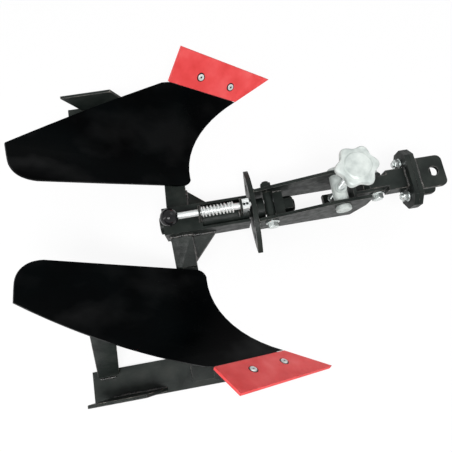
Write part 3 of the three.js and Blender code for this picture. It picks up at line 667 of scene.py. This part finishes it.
rim = wheel_radius
section = [
    (HUB_BORE, hub_foot),
    (HUB_RADIUS - 0.001, hub_foot),
    (HUB_RADIUS, hub_foot + 0.001),
    (HUB_RADIUS + 0.001, wheel_base - 0.002),
    (HUB_RADIUS + 0.004, wheel_base),
    (rim * 0.7, wheel_base + 0.0005),
    (rim * 0.9, wheel_base + 0.002),
    (rim * 0.98, wheel_base + 0.005),
    (rim, wheel_base + 0.0085),
    (rim * 0.985, wheel_base + 0.012),
    (rim * 0.94, wheel_base + 0.0142),
    (rim * 0.86, wheel_base + 0.0152),
    (rim * 0.66, wheel_base + 0.0153),
    (rim * 0.62, wheel_base + 0.0158),
    (rim * 0.59, wheel_base + 0.0168),
    (rim * 0.55, wheel_base + 0.017),
    (rim * 0.3, wheel_base + 0.0166),
    (HUB_BORE, wheel_base + 0.0163),
]
bm = bmesh.new()
rings = []
for radius, height in section:
    ring = []
    for angle in angles(WHEEL_SIDES):
        reach = star(angle, radius) if radius > HUB_RADIUS + 0.002 else radius
        ring.append(Vector((wheel_x + reach * math.cos(angle), reach * math.sin(angle), height)))
    rings.append(ring)
add_rings(bm, rings)
piece = new_piece("handwheel_star", bm, "handwheel", "cast_alloy", None, 50)
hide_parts("handwheel")

screw_low, screw_high = corners("depth_screw")
screw_radius = (screw_high.y - screw_low.y) / 2
SCREW_PITCH = 0.0018
screw_foot_at = basis((wheel_x, 0, screw_low.z), (0, 0, 1))
bm = bmesh.new()
add_thread(bm, screw_foot_at, screw_radius, screw_high.z - screw_low.z, SCREW_PITCH)
piece = new_piece("depth_screw_thread", bm, "handwheel", "zinc", None, 20, False)
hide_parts("depth_screw")

trunnion_low, trunnion_high = corners("screw_trunnion")
trunnion_radius = (trunnion_high.z - trunnion_low.z) / 2
trunnion_z = middle("screw_trunnion").z
half = (trunnion_high.y - trunnion_low.y) / 2
bm = bmesh.new()
profile = [
    (trunnion_radius - 0.0045, -half + 0.0006),
    (trunnion_radius - 0.004, -half),
    (trunnion_radius - 0.0015, -half),
    (trunnion_radius, -half + 0.0015),
    (trunnion_radius, -half + 0.0075),
    (trunnion_radius - 0.0008, -half + 0.0085),
]
profile += [(radius, -height) for radius, height in reversed(profile)]
add_turned(bm, basis((wheel_x, 0, trunnion_z), (0, 1, 0)), profile, SOFT_ROUND)
collar = [
    (screw_radius + 0.0006, trunnion_radius * 0.8),
    (screw_radius + 0.0045, trunnion_radius * 0.8),
    (screw_radius + 0.0045, trunnion_radius - 0.0006),
    (screw_radius + 0.0038, trunnion_radius),
    (screw_radius + 0.0006, trunnion_radius),
]
add_turned(bm, basis((wheel_x, 0, trunnion_z), (0, 0, 1)), collar)
piece = new_piece("trunnion_bar", bm, "hitch_frame", "cast_alloy")
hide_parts("screw_trunnion")


# ---------------------------------------------------------------- bolts
THREAD_OVERLAP = 0.0004  # how far a thread's start lies inside its nut


def cross_bolt(node, painted_over):
    """A bolt across the frame; painted_over gives its far head the frame's paint."""
    low, high = corners(node)
    centre = (low + high) / 2
    radius = 0.006
    washer = 0.0025
    head = 0.009
    end = 0.003
    face = high.y - end - head - washer
    bm = bmesh.new()
    shank = [(radius, 0), (radius, 2 * face)]
    add_turned(bm, basis((centre.x, -face, centre.z), (0, 1, 0)), shank, SHANK_ROUND)
    washer_radius = (high.z - low.z) / 2
    for side in (1, -1):
        at = Vector((centre.x, side * face, centre.z))
        out = (0, side, 0)
        add_washer(bm, basis(at, out), washer_radius, washer)
        nut_at = at + Vector(out) * washer
        add_hex(bm, basis(nut_at, out), radius * 3, head, both=side > 0)
    thread_start = Vector((centre.x, high.y - end - THREAD_OVERLAP, centre.z))
    add_thread(bm, basis(thread_start, (0, 1, 0)), radius, end + THREAD_OVERLAP)
    if painted_over:
        for face_made in bm.faces:
            if face_made.calc_center_median().y > face - 0.001:
                face_made.material_index = 2
    finish = [*PAINT["zinc"], PAINT["frame_paint"][0]]
    piece = new_piece(node + "_set", bm, BODY[node], "zinc", finish)
    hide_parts(node)


def flange_bolt(node):
    low, high = corners(node)
    centre = (low + high) / 2
    radius = 0.005
    across_flats = 0.016
    head = 0.007
    nut = 0.009
    washer = 0.002
    seat = high.x - head
    rear = corners("drawbar_flange")[0].x - 0.0003
    past = rear - washer - nut

    def along(x, out=-1):
        return basis((x, centre.y, centre.z), (out, 0, 0))

    bm = bmesh.new()
    add_turned(bm, along(rear, 1), [(radius, 0), (radius, seat - rear)], SHANK_ROUND)
    add_hex(bm, along(seat, 1), across_flats, head)
    add_washer(bm, along(rear), 0.01, washer)
    add_hex(bm, along(rear - washer), across_flats, nut, both=True)
    add_thread(bm, along(past + THREAD_OVERLAP), radius, past - low.x + THREAD_OVERLAP)
    piece = new_piece(node + "_set", bm, BODY[node], "zinc")
    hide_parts(node)


cross_bolt("rear_cross_bolt", True)
cross_bolt("front_cross_bolt", False)
for side_name in SIDES:
    flange_bolt("flange_bolt_" + side_name)


# ---------------------------------------------------------------- pin sleeve with two holes, painted shade in each
sleeve_low, sleeve_high = corners("pin_sleeve")
HOLE_RADIUS = 0.0026
HOLE_DEPTH = 0.0022
holes = bmesh.new()
hole_shade = bmesh.new()
for part_way in (0.26, 0.74):
    hole_x = sleeve_low.x + (sleeve_high.x - sleeve_low.x) * part_way
    bottom = basis((hole_x, 0, sleeve_high.z - HOLE_DEPTH), (0, 0, 1))
    hole = [(HOLE_RADIUS, 0), (HOLE_RADIUS + 0.0003, HOLE_DEPTH + 0.001)]
    # a black disc near each hole's floor: painted shade in the hole
    shade_disc = [(HOLE_RADIUS - 0.0002, 0.0001), (HOLE_RADIUS - 0.0004, 0.0009)]
    add_turned(holes, bottom, hole, SHANK_ROUND)
    add_turned(hole_shade, bottom, shade_disc, SHANK_ROUND)
rounded_copy("pin_sleeve", 0.0008, cutter=holes)
new_piece("sleeve_hole_shade", hole_shade, "plough_body", "frame_paint")


# ---------------------------------------------------------------- weld beads
def in_metres(points, side=1):
    return [Vector((x, side * y, z)) / MM for x, y, z in points]


def seams(name, body, runs, radius):
    """Beads along runs given in millimetres, each made on both sides of the plough."""
    weld(name, body, [in_metres(points, side) for points in runs for side in (1, -1)], radius)


WIDE_BEAD = 0.0026
NARROW_BEAD = 0.0022
SMALL_BEAD = 0.002
SEAM_BEAD = 0.0016
DRAWBAR_END = 292.1  # where the drawbar meets its flange
FORK_START = 309.9  # where the fork plates meet theirs
seams(
    "leg_welds",
    "plough_body",
    [
        [(-143.6, 25.6, 27), (-143.6, 25.6, 56)],
        [(-143.4, 26.2, 56.4), (-104.4, 26.2, 56.4)],
        [(-103.9, 25.6, 47), (-103.9, 25.6, 56)],
        [(-103, 25.8, 46.2), (-60, 25.8, 46.2)],
        [(-103.8, 28, 45.2), (-103.8, 70, 24.6)],
        [(-143.8, 238, 6.6), (-143.8, 282, 6.6)],
    ],
    WIDE_BEAD,
)
seams(
    "landside_welds",
    "plough_body",
    [
        [(-287, 285.6, 6.4), (-193, 285.6, 6.4)],
        [(-308, 244.4, 6.6), (-279, 244.4, 6.6)],
        [(-308, 251.8, 6.6), (-279, 251.8, 6.6)],
        [(-103, 242.6, 6.6), (-62, 242.6, 6.6)],
    ],
    NARROW_BEAD,
)
plate_front = corners("lock_plate")[1].x * MM + 0.6
seams(
    "lock_plate_welds",
    "hitch_frame",
    [
        [(plate_front, 31.5, 26), (plate_front, 31.5, 80)],
        [(190.2, 24.4, 80), (190.2, 24.4, 106)],
        [(197.0, 24.4, 80), (197.0, 24.4, 106)],
        [(55, 24.4, 71.3), (71, 24.4, 71.3)],
        [(53.6, 24.4, 31), (53.6, 24.4, 69)],
    ],
    NARROW_BEAD,
)
seams(
    "drawbar_welds",
    "drawbar",
    [
        [(DRAWBAR_END, 19.5, 80), (DRAWBAR_END, 19.5, 106)],
        [(DRAWBAR_END, 0.2, 107.3), (DRAWBAR_END, 18.6, 107.3)],
        [(DRAWBAR_END, 0.2, 78.7), (DRAWBAR_END, 18.6, 78.7)],
    ],
    WIDE_BEAD,
)
seams(
    "fork_welds",
    "fork",
    [
        [(FORK_START, 0.2, 118.2), (FORK_START, 28, 118.2)],
        [(FORK_START, 0.2, 110.7), (FORK_START, 28, 110.7)],
        [(FORK_START, 0.2, 75.3), (FORK_START, 28, 75.3)],
        [(FORK_START, 0.2, 67.8), (FORK_START, 28, 67.8)],
    ],
    NARROW_BEAD,
)
# a bead behind each seam between share and moldboard keeps light from showing through
SEAM_ENDS = (0.07, 0.227)  # along the share's edge from the tip
SEAM_DEPTH = 0.003
for side_name, side in SIDES.items():
    seam = []
    for along in SEAM_ENDS:
        at, out = share_point(side, along, SHARE_WIDTH)
        seam.append(at - out * SEAM_DEPTH)
    weld("seam_bead_" + side_name, "plough_body", [seam], SEAM_BEAD)

AXIS_Z = 50  # the turnover axis above the floor


def arc(x, radius, start_deg, step_deg, count):
    """Points round the turnover axis at x, in millimetres."""
    made = []
    for i in range(count):
        angle = math.radians(start_deg + step_deg * i)
        made.append((x, radius * math.cos(angle), AXIS_Z + radius * math.sin(angle)))
    return made


weld("boss_weld", "hitch_frame", [in_metres(arc(plate_front, 22.4, -80, 10, 27))], SMALL_BEAD)
guide_runs = [[(x, -11.5, 75.4), (x, 11.5, 75.4)] for x in (-85.6, -81.2)]
guide_runs += [arc(x, 21, 60, 6, 11) for x in (-11.8, -7.2)]
weld("guide_welds", "plough_body", [in_metres(run) for run in guide_runs], SMALL_BEAD)


# ---------------------------------------------------------------- studio
FLOOR_HALF = 6
FLOOR_DROP = 0.0004  # keeps the floor off the soles
GROUND_GLOW = 0.88  # how much of the seen floor is plain white; the rest shows the shadow
floor_mesh = bpy.data.meshes.new("floor")
bm = bmesh.new()
bmesh.ops.create_grid(bm, x_segments=8, y_segments=8, size=FLOOR_HALF)
bm.to_mesh(floor_mesh)
bm.free()
floor = bpy.data.objects.new("floor", floor_mesh)
floor.location.z = -FLOOR_DROP
bpy.context.scene.collection.objects.link(floor)


def seen_rays(tree):
    """1 for the rays that show the ground: seen directly, in a reflection or through glass."""
    path = tree.nodes.new("ShaderNodeLightPath")
    last = path.outputs["Is Camera Ray"]
    for kind in ("Is Glossy Ray", "Is Transmission Ray"):
        either = tree.nodes.new("ShaderNodeMath")
        either.operation = "MAXIMUM"
        tree.links.new(last, either.inputs[0])
        tree.links.new(path.outputs[kind], either.inputs[1])
        last = either.outputs[0]
    return last


paper = bpy.data.materials.new("paper")
paper.use_nodes = True
tree = paper.node_tree
diffuse = tree.nodes["Principled BSDF"]
diffuse.inputs["Base Color"].default_value = (0.9, 0.9, 0.9, 1)
diffuse.inputs["Roughness"].default_value = 0.9
glow = tree.nodes.new("ShaderNodeEmission")
glow.inputs["Color"].default_value = (1, 1, 1, 1)
share_seen = tree.nodes.new("ShaderNodeMath")
share_seen.operation = "MULTIPLY"
share_seen.inputs[1].default_value = GROUND_GLOW
mix = tree.nodes.new("ShaderNodeMixShader")
tree.links.new(seen_rays(tree), share_seen.inputs[0])
tree.links.new(share_seen.outputs[0], mix.inputs[0])
tree.links.new(diffuse.outputs[0], mix.inputs[1])
tree.links.new(glow.outputs[0], mix.inputs[2])
tree.links.new(mix.outputs[0], tree.nodes["Material Output"].inputs["Surface"])
floor_mesh.materials.append(paper)

SKY = [(0.0, 0.75), (0.35, 0.3), (1.0, 0.5)]  # (how high up, how bright)
world = bpy.data.worlds.new("studio")
bpy.context.scene.world = world
world.use_nodes = True
tree = world.node_tree
sky = tree.nodes["Background"]
place = tree.nodes.new("ShaderNodeTexCoord")
split = tree.nodes.new("ShaderNodeSeparateXYZ")
ramp = tree.nodes.new("ShaderNodeValToRGB")
elements = ramp.color_ramp.elements
elements.new(0.45)
for element, (position, level) in zip(elements, SKY):
    element.position = position
    element.color = (level, level, level * 1.02, 1)
tree.links.new(place.outputs["Generated"], split.inputs[0])
tree.links.new(split.outputs["Z"], ramp.inputs["Fac"])
tree.links.new(ramp.outputs["Color"], sky.inputs["Color"])
seen = tree.nodes.new("ShaderNodeBackground")
seen.inputs["Color"].default_value = (1, 1, 1, 1)
mix = tree.nodes.new("ShaderNodeMixShader")
tree.links.new(seen_rays(tree), mix.inputs[0])
tree.links.new(sky.outputs[0], mix.inputs[1])
tree.links.new(seen.outputs[0], mix.inputs[2])
tree.links.new(mix.outputs[0], tree.nodes["World Output"].inputs["Surface"])


def area_light(name, place_at, target, width, depth, watts):
    data = bpy.data.lights.new(name, "AREA")
    data.shape = "RECTANGLE"
    data.size = width
    data.size_y = depth
    data.energy = watts
    lamp = bpy.data.objects.new(name, data)
    lamp.location = place_at
    lamp.rotation_euler = (Vector(target) - Vector(place_at)).to_track_quat("-Z", "Y").to_euler()
    bpy.context.scene.collection.objects.link(lamp)


area_light("key", (-0.2, -1.15, 2.4), (-0.1, 0, 0.1), 1.3, 0.8, 50)
area_light("fill", (1.4, 1.2, 1.7), (0, 0, 0.1), 1.2, 1.2, 9)
area_light("rear", (-1.9, -0.4, 1.3), (0, 0, 0.1), 0.5, 1.6, 12)

# ---------------------------------------------------------------- camera
AZIMUTH = math.radians(-14.93)
ELEVATION = math.radians(76.01)
ROLL = math.radians(5.0)
CAMERA_AT = Vector((-0.0742, -0.221, 0.817))
LENS = 33.93
SHIFT = (-0.0204, 0.0159)
back = Vector(
    (
        math.sin(AZIMUTH) * math.cos(ELEVATION),
        -math.cos(AZIMUTH) * math.cos(ELEVATION),
        math.sin(ELEVATION),
    )
)
right = Vector((math.cos(AZIMUTH), math.sin(AZIMUTH), 0))
up = back.cross(right)
rolled_right = right * math.cos(ROLL) + up * math.sin(ROLL)
rolled_up = up * math.cos(ROLL) - right * math.sin(ROLL)
camera_data = bpy.data.cameras.new("camera")
camera_data.sensor_width = 36
camera_data.lens = LENS
camera_data.shift_x, camera_data.shift_y = SHIFT
camera_data.clip_start = 0.02
camera = bpy.data.objects.new("camera", camera_data)
turn = Matrix((rolled_right, rolled_up, back)).transposed().to_4x4()
camera.matrix_world = Matrix.Translation(CAMERA_AT) @ turn
bpy.context.scene.collection.objects.link(camera)
bpy.context.scene.camera = camera
bpy.context.scene.view_settings.view_transform = "Standard"
